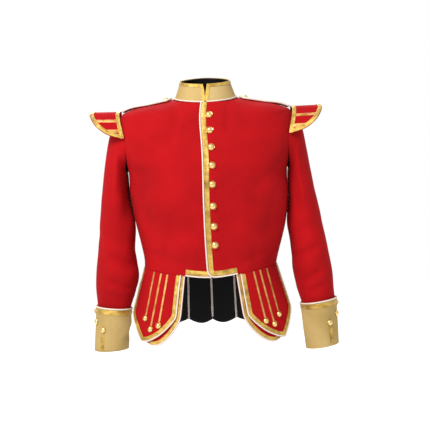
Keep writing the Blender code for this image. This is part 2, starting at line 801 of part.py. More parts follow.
clear_scene()
jacket = bpy.data.collections.new("pipe_band_jacket")
bpy.context.scene.collection.children.link(jacket)
RED_WOOL = material("red wool", "C4161E", 0.85, 0.0)
BUFF_WOOL = material("buff wool", "D5B97C", 0.85, 0.0)
BLACK_LINING = material("black lining", "0F0B12", 0.5, 0.0)
GOLD_BRAID = material("gold braid", "D9B24A", 0.4, 0.8)
WHITE_CORD = material("white piping cord", "F6E6D8", 0.7, 0.0)
GILT = material("gilt buttons", "E0B24A", 0.25, 1.0)

make_fronts()
make_backs()
make_sleeves()
make_cuffs()
make_collar()
make_front_trim()
make_flaps()
make_wings()
make_straps()
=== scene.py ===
"""A pipe band doublet in red wool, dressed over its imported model. Metres, in the model's frame."""

import math
from types import SimpleNamespace

import bmesh
import bpy
from mathutils import Matrix, Vector, noise
from mathutils.bvhtree import BVHTree
from mathutils.geometry import intersect_point_line
from mathutils.kdtree import KDTree


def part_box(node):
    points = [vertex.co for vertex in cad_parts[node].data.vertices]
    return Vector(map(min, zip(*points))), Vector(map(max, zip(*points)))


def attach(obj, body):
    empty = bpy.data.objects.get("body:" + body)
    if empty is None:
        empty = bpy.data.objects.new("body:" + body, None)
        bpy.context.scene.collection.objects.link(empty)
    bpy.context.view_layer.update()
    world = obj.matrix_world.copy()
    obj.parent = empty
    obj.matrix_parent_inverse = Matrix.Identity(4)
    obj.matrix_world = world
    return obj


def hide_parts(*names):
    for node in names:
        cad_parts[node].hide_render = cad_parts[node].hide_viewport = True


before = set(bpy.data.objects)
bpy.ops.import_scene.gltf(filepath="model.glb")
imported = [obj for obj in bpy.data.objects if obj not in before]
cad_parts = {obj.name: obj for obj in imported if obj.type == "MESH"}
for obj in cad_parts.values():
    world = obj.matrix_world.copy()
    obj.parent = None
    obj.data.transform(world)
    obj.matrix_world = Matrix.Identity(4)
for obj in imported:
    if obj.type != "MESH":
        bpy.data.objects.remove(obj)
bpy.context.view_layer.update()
HANDS = (("left", 1), ("right", -1))

# Body: two fronts and two backs of red barathea, a closely woven and lightly felted wool, lined
# with black satin. The panels are cut to the chest and pressed over it, and sewn at the sides,
# the shoulders and the centre back.
WOOL_GRAIN, DYE_CLOUDS = 0.0011, 9.0
TWILL_SPACING, TWILL_SHARE, NAP_HEIGHT = 0.0024, 0.35, 0.0004
SATIN_THREADS, SATIN_HEIGHT = (900, 900, 120), 0.0003
BODY_AXIS = ((0, 0, -0.60), (0, 0, -0.15))
CORNER, SURELY_OUTSIDE = math.radians(75), 0.85
SHARP_EDGE, SOFT_EDGE = math.radians(55), math.radians(45)
FACET_ANGLE = math.radians(80)
SAME_POINT, SLEEVE_POINT = 0.00001, 0.0008
SEAM_X, SEAM_REACH, SEAM_GAP = 0.0015, 0.02, 0.0003
RIPPLE, RIPPLE_SCALE = 0.0006, 22.0
# A fold fades over a quarter of its length on either side of each end, and reaches three half
# widths sideways
FOLD_STRENGTH, FOLD_FADE, FOLD_REACH, SIDE_FADE = 1.6, 0.25, 3.0, 0.05
# Folds: x and z of both ends in the front view, half width, depth (inwards is negative), and the
# side of the piece, where -1 is the front and 1 the back
FRONT_FOLDS = (
    (-0.196, -0.175, -0.105, -0.262, 0.020, -0.0040, -1),
    (-0.203, -0.225, -0.125, -0.330, 0.022, 0.0030, -1),
    (0.200, -0.180, 0.118, -0.245, 0.019, -0.0034, -1),
    (0.204, -0.232, 0.140, -0.318, 0.022, 0.0026, -1),
    (0.060, -0.012, 0.056, -0.088, 0.010, -0.0024, -1),
    (-0.074, -0.030, -0.098, -0.120, 0.013, -0.0020, -1),
    (-0.188, -0.205, -0.150, -0.345, 0.016, -0.0036, -1),
    (-0.150, -0.225, -0.118, -0.350, 0.016, 0.0022, -1),
    (0.186, -0.215, 0.152, -0.350, 0.016, -0.0030, -1),
    (0.020, -0.300, 0.150, -0.352, 0.024, -0.0022, -1),
    (-0.020, -0.330, -0.150, -0.372, 0.022, -0.0022, -1),
    (-0.165, -0.402, -0.070, -0.428, 0.012, -0.0022, -1),
    (0.168, -0.398, 0.080, -0.430, 0.012, -0.0022, -1),
    (-0.120, -0.385, -0.128, -0.440, 0.010, -0.0018, -1),
    (0.110, -0.385, 0.122, -0.440, 0.010, -0.0018, -1),
)
BACK_FOLDS = (
    (-0.205, -0.180, -0.090, -0.250, 0.022, -0.0042, 1),
    (0.203, -0.185, 0.110, -0.262, 0.022, -0.0036, 1),
    (-0.150, -0.310, -0.030, -0.345, 0.024, -0.0030, 1),
    (0.155, -0.322, 0.040, -0.352, 0.022, -0.0026, 1),
    (-0.140, -0.400, -0.050, -0.425, 0.014, -0.0024, 1),
    (0.130, -0.396, 0.045, -0.428, 0.014, -0.0022, 1),
    (0.000, -0.030, 0.000, -0.420, 0.006, -0.0012, 1),
)


def colour(hex_value):
    """An sRGB hex value as a linear colour."""
    channels = [int(hex_value[k : k + 2], 16) / 255 for k in (0, 2, 4)]
    return [c / 12.92 if c <= 0.04045 else ((c + 0.055) / 1.055) ** 2.4 for c in channels] + [1]


def add(material, kind, values=(), **settings):
    """Adds a node. A value is a number or colour for a socket, or the output that feeds it."""
    made = material.node_tree.nodes.new(kind)
    for name, value in settings.items():
        setattr(made, name, value)
    for socket, value in values:
        if isinstance(value, bpy.types.NodeSocket):
            material.node_tree.links.new(value, made.inputs[socket])
        else:
            made.inputs[socket].default_value = value
    return made.outputs


def finish(name, **values):
    """A material whose shader has these values on its sockets, and that shader."""
    made = bpy.data.materials.new(name)
    made.use_nodes = True
    shader = made.node_tree.nodes["Principled BSDF"]
    for socket, value in values.items():
        shader.inputs[socket.replace("_", " ")].default_value = value
    return made, shader


def wool(name, deep, middle, light):
    """Barathea: matt, with a soft nap, a pebbled weave and cloudy, slightly uneven dye."""
    made, shader = finish(name, Roughness=0.9, Sheen_Weight=0.06, Sheen_Roughness=0.4)
    shader.inputs["Specular IOR Level"].default_value = 0.12
    shader.inputs["Sheen Tint"].default_value = colour(light)
    at = add(made, "ShaderNodeTexCoord")["Object"]
    clouds = add(made, "ShaderNodeTexNoise", [("Vector", at), ("Scale", DYE_CLOUDS), ("Detail", 4.0)])
    grain = add(made, "ShaderNodeTexNoise", [("Vector", at), ("Scale", 1 / WOOL_GRAIN), ("Detail", 2.0)])
    twill_scale = 2 * math.pi / 10 / (TWILL_SPACING * math.sqrt(2))
    twill = add(
        made, "ShaderNodeTexWave",
        [("Vector", at), ("Scale", twill_scale), ("Distortion", 1.2), ("Detail", 1.0)],
        bands_direction="DIAGONAL",
    )
    mixed = add(made, "ShaderNodeMath", [(0, clouds["Fac"]), (1, grain["Fac"])])["Value"]
    mixed = add(made, "ShaderNodeMath", [(0, mixed), (1, 0.5)], operation="MULTIPLY")["Value"]
    ramp = add(made, "ShaderNodeValToRGB", [("Fac", mixed)])
    stops = made.node_tree.nodes["Color Ramp"].color_ramp.elements
    stops[0].position, stops[0].color = 0.34, colour(deep)
    stops[1].position, stops[1].color = 0.66, colour(light)
    stops.new(0.5).color = colour(middle)
    ridges = [(0, twill["Fac"]), (1, TWILL_SHARE)]
    ridges = add(made, "ShaderNodeMath", ridges, operation="MULTIPLY")["Value"]
    height = add(made, "ShaderNodeMath", [(0, ridges), (1, grain["Fac"])])["Value"]
    bump = add(made, "ShaderNodeBump", [("Height", height), ("Strength", 0.35), ("Distance", NAP_HEIGHT)])
    made.node_tree.links.new(ramp["Color"], shader.inputs["Base Color"])
    made.node_tree.links.new(bump["Normal"], shader.inputs["Normal"])
    return made


def satin(name, deep, light):
    """Lining satin: nearly black, smooth and softly glossy, with a fine slubbed weave."""
    made, shader = finish(name, Roughness=0.5)
    shader.inputs["Specular IOR Level"].default_value = 0.08
    at = add(made, "ShaderNodeTexCoord")["Object"]
    stretched = add(made, "ShaderNodeMapping", [("Vector", at), ("Scale", SATIN_THREADS)])["Vector"]
    slubs = add(made, "ShaderNodeTexNoise", [("Vector", stretched), ("Scale", 1.0), ("Detail", 3.0)])
    ramp = add(made, "ShaderNodeValToRGB", [("Fac", slubs["Fac"])])
    stops = made.node_tree.nodes["Color Ramp"].color_ramp.elements
    stops[0].position, stops[0].color = 0.3, colour(deep)
    stops[1].position, stops[1].color = 0.75, colour(light)
    height = [("Height", slubs["Fac"]), ("Strength", 0.2), ("Distance", SATIN_HEIGHT)]
    bump = add(made, "ShaderNodeBump", height)
    made.node_tree.links.new(ramp["Color"], shader.inputs["Base Color"])
    made.node_tree.links.new(bump["Normal"], shader.inputs["Normal"])
    return made


def pick(*objects):
    """Selects these alone, and works on the first."""
    bpy.ops.object.select_all(action="DESELECT")
    for obj in objects:
        obj.select_set(True)
    bpy.context.view_layer.objects.active = objects[0]


def from_mesh(name, mesh):
    """An object with this mesh, at the origin."""
    made = bpy.data.objects.new(name, mesh)
    bpy.context.scene.collection.objects.link(made)
    return made


def belong(piece, slot, *nodes):
    """The piece rides on the jacket and stands for these nodes; the slot is not used."""
    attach(piece, "root")
    if nodes:
        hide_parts(*nodes)


def weld_seams(mesh):
    """Takes out the walls that are left inside where two panels have been joined."""
    bm = bmesh.new()
    bm.from_mesh(mesh)
    inside = [f for f in bm.faces if sum(len(e.link_faces) > 2 for e in f.edges) >= 2]
    bmesh.ops.delete(bm, geom=inside, context="FACES")
    bm.to_mesh(mesh)
    bm.free()


def tailor(name, nodes, rounds=2, seam=SAME_POINT):
    """A finer copy of cut panels: their flat facets become a smooth cloth with crisp edges."""
    copies = [from_mesh(name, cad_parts[node].data.copy()) for node in nodes]
    pick(*copies)
    if len(copies) > 1:
        bpy.ops.object.join()
    piece = bpy.context.object
    bpy.ops.object.mode_set(mode="EDIT")
    bpy.ops.mesh.select_all(action="SELECT")
    bpy.ops.mesh.remove_doubles(threshold=seam)
    bpy.ops.object.mode_set(mode="OBJECT")
    if len(copies) > 1:
        weld_seams(piece.data)
    bpy.ops.object.mode_set(mode="EDIT")
    bpy.ops.mesh.select_all(action="SELECT")
    bpy.ops.mesh.tris_convert_to_quads(face_threshold=FACET_ANGLE, shape_threshold=FACET_ANGLE)
    bpy.ops.mesh.select_all(action="DESELECT")
    bpy.ops.mesh.select_mode(type="EDGE")
    bpy.ops.mesh.edges_select_sharp(sharpness=SHARP_EDGE)
    bpy.ops.transform.edge_crease(value=1.0)
    bpy.ops.mesh.select_mode(type="VERT")
    bpy.ops.object.mode_set(mode="OBJECT")
    smooth = piece.modifiers.new("pressed smooth", "SUBSURF")
    smooth.levels = smooth.render_levels = rounds
    bpy.ops.object.modifier_apply(modifier=smooth.name)
    return piece


def ease(share):
    """Starts and ends softly between 0 and 1."""
    share = min(max(share, 0.0), 1.0)
    return share * share * (3 - 2 * share)


def away_from(start, end):
    """The direction away from a line inside the piece."""
    start, end = Vector(start), Vector(end)

    def facing(point):
        nearest, share = intersect_point_line(point, start, end)
        nearest = start.lerp(end, min(max(share, 0.0), 1.0))
        return (point - nearest).normalized()

    return facing


def crease(piece, axis, folds, ripple=RIPPLE, middle_y=0.0):
    """Presses soft folds into the cloth, and ripples it slightly so that no two parts are alike."""
    facing = away_from(*axis)
    for vert in piece.data.vertices:
        spot = vert.co
        moved = ripple * noise.noise(spot * RIPPLE_SCALE)
        for x1, z1, x2, z2, width, depth, side in folds:
            along = Vector((x2 - x1, z2 - z1))
            offset = Vector((spot.x - x1, spot.z - z1))
            share = offset.dot(along) / along.length_squared
            if not -FOLD_FADE < share < 1 + FOLD_FADE:
                continue
            across = (offset - along * share).length / width
            if across > FOLD_REACH:
                continue
            begun, to_go = share + FOLD_FADE, 1 + FOLD_FADE - share
            fade = ease(begun / (2 * FOLD_FADE)) * ease(to_go / (2 * FOLD_FADE))
            fade *= ease(0.5 + side * (spot.y - middle_y) / SIDE_FADE)
            moved += FOLD_STRENGTH * depth * fade * math.exp(-across * across)
        vert.co = spot + facing(spot) * moved


def spread(seeds, corner):
    """These faces and all that meet them without a sharp corner between."""
    found, ahead = set(seeds), list(seeds)
    while ahead:
        for edge in ahead.pop().edges:
            if edge.calc_face_angle(math.pi) < corner:
                new = [face for face in edge.link_faces if face not in found]
                found.update(new)
                ahead.extend(new)
    return found


def rims(bm, skin):
    """The edges of a skin, each as a line of points, the longest first."""
    rim = {e for e in bm.edges if sum(f in skin for f in e.link_faces) == 1}
    lines = []
    while rim:
        edge = rim.pop()
        line = [edge.verts[0], edge.verts[1]]
        while True:
            ahead = [e for e in line[-1].link_edges if e in rim]
            if not ahead:
                break
            rim.discard(ahead[0])
            line.append(ahead[0].other_vert(line[-1]))
        lines.append([v.co.copy() for v in line[:-1]])
    return sorted(lines, key=len, reverse=True)


def dress(piece, axis, outer, lining, corner=CORNER, sure=SURELY_OUTSIDE):
    """Gives the two sides of a wall their cloths and returns its outer skin, to lay trim on."""
    mesh = piece.data
    mesh.materials.clear()
    mesh.materials.append(outer)
    mesh.materials.append(lining)
    facing = away_from(*axis)
    bm = bmesh.new()
    bm.from_mesh(mesh)
    outward = {face: face.normal.dot(facing(face.calc_center_median())) for face in bm.faces}
    skin = spread([face for face in bm.faces if outward[face] > sure], corner)
    inside = spread([face for face in bm.faces if outward[face] < -sure], corner)
    for face in bm.faces:
        face.material_index = 1 if face in inside else 0
        face.smooth = True
    bm.verts.index_update()
    faces = [[v.index for v in face.verts] for face in skin]
    tree = BVHTree.FromPolygons([v.co.copy() for v in bm.verts], faces)
    edges = rims(bm, skin)
    bm.to_mesh(mesh)
    bm.free()
    pick(piece)
    bpy.ops.object.shade_smooth_by_angle(angle=SOFT_EDGE)
    return SimpleNamespace(piece=piece, tree=tree, edges=edges)


def close_seam(piece, side):
    """Brings a back panel up to the centre-back seam, which the solids leave a hair apart."""
    for vert in piece.data.vertices:
        near = ease(1 - abs(vert.co.x - SEAM_X) / SEAM_REACH)
        vert.co.x -= side * SEAM_GAP * near


RED_WOOL = wool("red barathea wool", "850208", "95050B", "A2080F")
BLACK_SATIN = satin("black satin lining", "040305", "0A080B")

fronts, backs = {}, {}
for hand, side in HANDS:
    for kind, made, folds in (("front", fronts, FRONT_FOLDS), ("back", backs, BACK_FOLDS)):
        panel = tailor(f"{kind}_panel_{hand}", [f"{kind}_{hand}"])
        if kind == "back":
            close_seam(panel, side)
        crease(panel, BODY_AXIS, folds)
        made[hand] = dress(panel, BODY_AXIS, RED_WOOL, BLACK_SATIN)
        belong(panel, "red_wool", f"{kind}_{hand}")

# Sleeves: a top and an under half each, of the same barathea, sewn into the armhole and along the
# front and back of the arm. The elbow breaks into soft folds, and the cloth hangs over the cuff.
SOFT_RIPPLE = 0.0008
SLEEVE_AXES = {
    "left": ((0.2355, 0, -0.15), (0.2921, -0.0213, -0.61)),
    "right": ((-0.2360, 0, -0.15), (-0.2691, -0.0213, -0.61)),
}
SLEEVE_FOLDS = {
    "left": (
        (0.222, -0.150, 0.236, -0.300, 0.013, -0.0040, -1),
        (0.248, -0.135, 0.252, -0.235, 0.012, -0.0022, -1),
        (0.286, -0.398, 0.226, -0.426, 0.010, -0.0056, -1),
        (0.288, -0.430, 0.226, -0.458, 0.010, 0.0030, -1),
        (0.294, -0.462, 0.234, -0.494, 0.009, -0.0050, -1),
        (0.296, -0.330, 0.236, -0.362, 0.013, -0.0026, -1),
        (0.300, -0.500, 0.256, -0.520, 0.008, -0.0030, -1),
        (0.222, -0.160, 0.240, -0.300, 0.014, -0.0036, 1),
        (0.300, -0.350, 0.232, -0.392, 0.011, -0.0040, 1),
        (0.290, -0.410, 0.236, -0.440, 0.010, -0.0046, 1),
        (0.296, -0.470, 0.246, -0.490, 0.010, -0.0034, 1),
    ),
    "right": (
        (-0.222, -0.148, -0.214, -0.300, 0.013, -0.0044, -1),
        (-0.250, -0.140, -0.258, -0.260, 0.013, -0.0022, -1),
        (-0.208, -0.300, -0.222, -0.400, 0.012, 0.0024, -1),
        (-0.268, -0.408, -0.204, -0.436, 0.010, -0.0056, -1),
        (-0.270, -0.440, -0.204, -0.464, 0.010, 0.0030, -1),
        (-0.272, -0.472, -0.208, -0.496, 0.009, -0.0050, -1),
        (-0.296, -0.350, -0.220, -0.384, 0.012, -0.0026, -1),
        (-0.276, -0.506, -0.234, -0.522, 0.008, -0.0028, -1),
        (-0.222, -0.165, -0.224, -0.300, 0.014, -0.0036, 1),
        (-0.272, -0.372, -0.212, -0.400, 0.011, -0.0042, 1),
        (-0.276, -0.424, -0.208, -0.450, 0.010, -0.0040, 1),
        (-0.278, -0.484, -0.216, -0.500, 0.010, -0.0034, 1),
    ),
}

for hand, side in HANDS:
    halves = [f"sleeve_top_{hand}", f"sleeve_under_{hand}"]
    sleeve = tailor(f"sleeve_{hand}", halves, seam=SLEEVE_POINT)
    crease(sleeve, SLEEVE_AXES[hand], SLEEVE_FOLDS[hand], SOFT_RIPPLE)
    dress(sleeve, SLEEVE_AXES[hand], RED_WOOL, BLACK_SATIN)
    belong(sleeve, "red_wool", *halves)

# Cuffs and collar: buff facing wool over stiff canvas, lined with black satin. The cuffs are deep
# and straight. The collar stands, closes with a hook at its base and opens above it in a small V.
CUFF_AXES = {
    "left": ((0.2821, -0.0155, -0.494), (0.2949, -0.0265, -0.716)),
    "right": ((-0.2610, -0.0154, -0.494), (-0.2803, -0.0266, -0.708)),
}
CUFF_FOLDS = {
    "left": (
        (0.250, -0.570, 0.262, -0.640, 0.009, -0.0022, -1),
        (0.320, -0.560, 0.316, -0.640, 0.010, -0.0014, -1),
    ),
    "right": (
        (-0.206, -0.584, -0.234, -0.630, 0.006, -0.0040, -1),
        (-0.206, -0.568, -0.242, -0.622, 0.006, 0.0022, -1),
        (-0.300, -0.560, -0.306, -0.630, 0.010, -0.0014, -1),
    ),
}
STIFF_RIPPLE, CUFF_MIDDLE_Y = 0.0004, -0.018
COLLAR_AXIS = ((0, 0, -0.20), (0, 0, 0.20))

BUFF_WOOL = wool("buff facing wool", "947B47", "A68C58", "B39C6A")

cuffs = {}
for hand, side in HANDS:
    cuff = tailor(f"cuff_cloth_{hand}", [f"cuff_{hand}"])
    crease(cuff, CUFF_AXES[hand], CUFF_FOLDS[hand], STIFF_RIPPLE, CUFF_MIDDLE_Y)
    cuffs[hand] = dress(cuff, CUFF_AXES[hand], BUFF_WOOL, BLACK_SATIN)
    belong(cuff, "buff_wool", f"cuff_{hand}")

collar_cloth = tailor("collar_cloth", ["collar"])
collar = dress(collar_cloth, COLLAR_AXIS, BUFF_WOOL, BUFF_WOOL)
belong(collar_cloth, "buff_wool", "collar")
lining_cloth = tailor("collar_lining_cloth", ["collar_lining"])
dress(lining_cloth, COLLAR_AXIS, BLACK_SATIN, BLACK_SATIN)
belong(lining_cloth, "black_lining", "collar_lining")

# Flaps and tails: red barathea lined with black satin, hung from the waist seam. The under flap
# shows past the front one, and the tails meet behind in scallops.
FLAP_AXIS = ((0, 0, -0.70), (0, 0, -0.40))
LINED_WOOL, UNDERSIDE = 0.0028, -0.5
WAIST_GAP, WAIST_REACH = 0.0008, 0.02


def press_flat(piece, axis):
    """Presses the outer skin to an even thickness, so that braid can be laid where the ribs were."""
    facing = away_from(*axis)
    mesh = piece.data
    under = [f for f in mesh.polygons if f.normal.dot(facing(f.center)) < UNDERSIDE]
    tree = BVHTree.FromPolygons([v.co for v in mesh.vertices], [list(f.vertices) for f in under])
    for vert in mesh.vertices:
        below = tree.find_nearest(vert.co)[0]
        rise = (vert.co - below).length
        if rise > LINED_WOOL:
            vert.co = below + (vert.co - below) * LINED_WOOL / rise


def hang(piece):
    """Draws a flap's top up to the waist seam, so that no light shows between."""
    top = max(vert.co.z for vert in piece.data.vertices)
    for vert in piece.data.vertices:
        vert.co.z += WAIST_GAP * ease((vert.co.z - top) / WAIST_REACH + 1)


flaps = {}
for kind in ("front_flap", "under_flap", "side_tail", "back_tail"):
    for hand, side in HANDS:
        flap = tailor(f"{kind}_cloth_{hand}", [f"{kind}_{hand}"])
        if kind == "front_flap":
            press_flat(flap, FLAP_AXIS)
        crease(flap, FLAP_AXIS, (), SOFT_RIPPLE if kind != "under_flap" else 0.0)
        if kind.endswith("tail"):
            hang(flap)
        flaps[kind, hand] = dress(flap, FLAP_AXIS, RED_WOOL, BLACK_SATIN)
        belong(flap, "red_wool", f"{kind}_{hand}")

# Wings and shoulder straps: stiffened red barathea. A wing stands out over the head of each
# sleeve from the armhole seam, and a strap is buttoned down towards the neck.
WING_AXIS = ((0.18, 0, -0.13), (0.36, 0, -0.13))
STRAP_AXIS = ((0.05, 0, -0.30), (0.25, 0, -0.30))
WING_FACING = 0.5


def on_side(side, points):
    """The same points on the other half of the jacket where side is -1."""
    return tuple((side * x, y, z) for x, y, z in points)


wings, straps = {}, {}
for hand, side in HANDS:
    wing_axis = on_side(side, WING_AXIS)
    wing = tailor(f"wing_cloth_{hand}", [f"wing_{hand}"])
    press_flat(wing, wing_axis)
    wings[hand] = dress(wing, wing_axis, RED_WOOL, RED_WOOL, corner=0.0, sure=WING_FACING)
    belong(wing, "red_wool", f"wing_{hand}")
    strap = tailor(f"strap_cloth_{hand}", [f"shoulder_strap_{hand}"])
    straps[hand] = dress(strap, on_side(side, STRAP_AXIS), RED_WOOL, RED_WOOL)
    belong(strap, "red_wool", f"shoulder_strap_{hand}")

# Trimmings: half-inch gold braid woven of gilt wire in a herringbone, and white cotton piping
# cord twisted of strands. Each is sewn along the edge of its piece, and mitred at the corners.
BRAID_WIDTH, PIPING_RADIUS = 0.0127, 0.0019
THREAD_SPACING, RIB_SPACING, BRAID_HEIGHT = 0.0030, 0.0032, 0.0003
THREAD_SHADE, WEAR_SCALE = 0.16, 60.0
STRAND_SPACING, STRAND_HEIGHT = 0.0034, 0.0004
STEP = 0.003
CORD_SIDES, BRAID_STEPS, WORN_EDGE, CLOTH_GAP = 12, 8, 0.75, 0.0001
MITRE_STEPS, MITRE_SHARE, MITRE_CUT, MITRE_SLACK = 40, 0.97, 0.94, 0.0004
ABOVE_CLOTH, TRIM_EDGE = 0.002, math.radians(50)


def braid(name, dark, middle, bright):
    """Gilt wire braid: satiny metal with a painted highlight on each thread, painted shade between, and
    uneven wear.
    """
    made, shader = finish(name, Roughness=0.42, Metallic=0.62)
    at = add(made, "ShaderNodeUVMap", uv_map="along")["UV"]
    parts = add(made, "ShaderNodeSeparateXYZ", [("Vector", at)])
    across = add(made, "ShaderNodeMath", [(0, parts["X"])], operation="ABSOLUTE")["Value"]
    slant = add(made, "ShaderNodeMath", [(0, parts["Y"]), (1, across)])["Value"]
    turn = 2 * math.pi / THREAD_SPACING
    turns = add(made, "ShaderNodeMath", [(0, slant), (1, turn)], operation="MULTIPLY")["Value"]
    thread = add(made, "ShaderNodeMath", [(0, turns)], operation="SINE")["Value"]
    turn = 2 * math.pi / RIB_SPACING
    rib = add(made, "ShaderNodeMath", [(0, parts["X"]), (1, turn)], operation="MULTIPLY")["Value"]
    rib = add(made, "ShaderNodeMath", [(0, rib)], operation="COSINE")["Value"]
    both = add(made, "ShaderNodeMath", [(0, thread), (1, rib)])["Value"]
    place = add(made, "ShaderNodeTexCoord")["Object"]
    wear = add(made, "ShaderNodeTexNoise", [("Vector", place), ("Scale", WEAR_SCALE), ("Detail", 3.0)])
    # Painted light: the colour is lighter on the crown of each thread and rib and darker in the grooves
    # between them, with random tone from wear added
    values = [(0, both), (1, THREAD_SHADE), (2, wear["Fac"])]
    shade = add(made, "ShaderNodeMath", values, operation="MULTIPLY_ADD")["Value"]
    ramp = add(made, "ShaderNodeValToRGB", [("Fac", shade)])
    stops = made.node_tree.nodes["Color Ramp"].color_ramp.elements
    stops[0].position, stops[0].color = 0.22, colour(dark)
    stops[1].position, stops[1].color = 0.8, colour(bright)
    stops.new(0.5).color = colour(middle)
    bump = add(made, "ShaderNodeBump", [("Height", both), ("Strength", 0.5), ("Distance", BRAID_HEIGHT)])
    made.node_tree.links.new(ramp["Color"], shader.inputs["Base Color"])
    made.node_tree.links.new(bump["Normal"], shader.inputs["Normal"])
    return made


def cotton(name, dark, light):
    """Piping cord: matt twisted cotton, with painted shade that greys the grooves of its lay."""
    made, shader = finish(name, Roughness=0.8)
    at = add(made, "ShaderNodeUVMap", uv_map="along")["UV"]
    parts = add(made, "ShaderNodeSeparateXYZ", [("Vector", at)])
    slant = add(made, "ShaderNodeMath", [(0, parts["Y"]), (1, parts["X"])])["Value"]
    turn = 2 * math.pi / STRAND_SPACING
    turns = add(made, "ShaderNodeMath", [(0, slant), (1, turn)], operation="MULTIPLY")["Value"]
    strand = add(made, "ShaderNodeMath", [(0, turns)], operation="SINE")["Value"]
    # Painted shade: the colour greys in the grooves between the strands
    values = [(0, strand), (1, 0.5), (2, 0.5)]
    shade = add(made, "ShaderNodeMath", values, operation="MULTIPLY_ADD")["Value"]
    ramp = add(made, "ShaderNodeValToRGB", [("Fac", shade)])
    stops = made.node_tree.nodes["Color Ramp"].color_ramp.elements
    stops[0].position, stops[0].color = 0.05, colour(dark)
    stops[1].position, stops[1].color = 0.55, colour(light)
    bump = add(made, "ShaderNodeBump", [("Height", strand), ("Strength", 0.5), ("Distance", STRAND_HEIGHT)])
    made.node_tree.links.new(ramp["Color"], shader.inputs["Base Color"])
    made.node_tree.links.new(bump["Normal"], shader.inputs["Normal"])
    return made


def between(line, first, last, by):
    """The part of a closed edge from near the first point to near the last, by way of another."""
    def place(point):
        return min(range(len(line)), key=lambda k: (line[k] - Vector(point)).length)

    start = place(first)
    turned = line[start:] + line[:start]
    end, middle = ((place(point) - start) % len(line) for point in (last, by))
    if middle <= end:
        return turned[: end + 1]
    return [turned[0]] + turned[:end - 1:-1]


def evenly(line, closed):
    """Points a step apart along a line."""
    line = line + line[:1] if closed else line
    lengths = [(b - a).length for a, b in zip(line, line[1:])]
    count = max(round(sum(lengths) / STEP), 4)
    spots, k, left = [], 0, 0.0
    for number in range(count + (0 if closed else 1)):
        want = sum(lengths) * number / count
        while k < len(lengths) - 1 and left + lengths[k] < want:
            left += lengths[k]
            k += 1
        share = min(max((want - left) / max(lengths[k], 1e-9), 0.0), 1.0)
        spots.append(line[k].lerp(line[k + 1], share))
    return spots


def flat(near, far, rise):
    """A braid's section: its points, in from the line and up from the cloth, and its map marks."""
    top = []
    for k in range(BRAID_STEPS + 1):
        height = rise * WORN_EDGE if k in (0, BRAID_STEPS) else rise
        top.append((near + (far - near) * k / BRAID_STEPS, height))
    points = [(near, CLOTH_GAP)] + top + [(far, CLOTH_GAP)]
    middle = sum(across for across, _ in points) / len(points)
    marks = [across - middle for across, _ in points]
    return SimpleNamespace(points=points, marks=list(zip(marks, marks[1:] + marks[:1])))


def round_cord(middle, up, radius):
    """A cord's section, given in the same way, with marks that run round it."""
    turns = [2 * math.pi * k / CORD_SIDES for k in range(CORD_SIDES)]
    points = [(middle - radius * math.cos(turn), up + radius * math.sin(turn)) for turn in turns]
    marks = [0.0]
    for (a, b), (c, d) in zip(points, points[1:] + points[:1]):
        marks.append(marks[-1] + math.hypot(c - a, d - b))
    return SimpleNamespace(points=points, marks=list(zip(marks, marks[1:])))


def inward(cloth, spots, towards, closed):
    """The way in over the cloth, and the way out of it, at each point along an edge."""
    last = len(spots) - 1
    ways, normals = [], []
    for k, spot in enumerate(spots):
        ahead = spots[(k + 1) % len(spots)] if closed or k < last else spot
        behind = spots[k - 1] if closed or k else spot
        normal = cloth.tree.find_nearest(spot)[1]
        ways.append(normal.cross(ahead - behind).normalized())
        normals.append(normal)
    if sum((Vector(towards) - spot).dot(way) for spot, way in zip(spots, ways)) < 0:
        ways = [-way for way in ways]
    return ways, normals


def mitre(line_tree, spot, way, widest):
    """How far in a trimming can reach before it is nearer to another stretch of its line."""
    reach = widest
    for _ in range(MITRE_STEPS):
        if line_tree.find(spot + way * reach)[2] > MITRE_SHARE * reach - MITRE_SLACK:
            break
        reach *= MITRE_CUT
    return reach


def press_ring(bm, cloth, spot, way, normal, section, reach):
    """The section at one point of the line, pressed down to the cloth."""
    ring = []
    for across, up in section.points:
        across = min(across, reach)
        place, out = spot + way * across, normal
        if across > 0:
            place, out = cloth.tree.find_nearest(place + normal * ABOVE_CLOTH)[:2]
        ring.append(bm.verts.new(place + out * up))
    return ring


def cover(bm, rings, starts, length, section, closed):
    """Faces between the rings, with the map that the weave follows, and the two ends."""
    map_layer = bm.loops.layers.uv.new("along")
    count, sides = len(rings), len(section.marks)
    ends = starts[1:] + [length]
    for k in range(count if closed else count - 1):
        first, second = rings[k], rings[(k + 1) % count]
        near, far = starts[k], ends[k]
        for j, (left, right) in enumerate(section.marks):
            i = (j + 1) % sides
            face = bm.faces.new((first[j], first[i], second[i], second[j]))
            face.smooth = True
            places = ((left, near), (right, near), (right, far), (left, far))
            for loop, place in zip(face.loops, places):
                loop[map_layer].uv = place
    if not closed:
        bm.faces.new(rings[0])
        bm.faces.new(rings[-1])


def lay(name, cloth, line, towards, section, material, slot, nodes=(), closed=False):
    """Sews a trimming along a line on the cloth, and mitres it where the line turns sharply."""
    spots = evenly(line, closed)
    ways, normals = inward(cloth, spots, towards, closed)
    line_tree = KDTree(len(spots))
    for k, spot in enumerate(spots):
        line_tree.insert(spot, k)
    line_tree.balance()
    widest = max(across for across, _ in section.points)
    bm = bmesh.new()
    rings, starts, length = [], [], 0.0
    for spot, way, normal, following in zip(spots, ways, normals, spots[1:] + spots[:1]):
        reach = mitre(line_tree, spot, way, widest)
        rings.append(press_ring(bm, cloth, spot, way, normal, section, reach))
        starts.append(length)
        length += (following - spot).length
    cover(bm, rings, starts, length, section, closed)
    bmesh.ops.recalc_face_normals(bm, faces=bm.faces)
    if bm.calc_volume(signed=True) < 0:
        bmesh.ops.reverse_faces(bm, faces=bm.faces)
    mesh = bpy.data.meshes.new(name)
    bm.to_mesh(mesh)
    bm.free()
    mesh.materials.append(material)
    piece = from_mesh(name, mesh)
    pick(piece)
    bpy.ops.object.shade_smooth_by_angle(angle=TRIM_EDGE)
    belong(piece, slot, *nodes)
    return piece


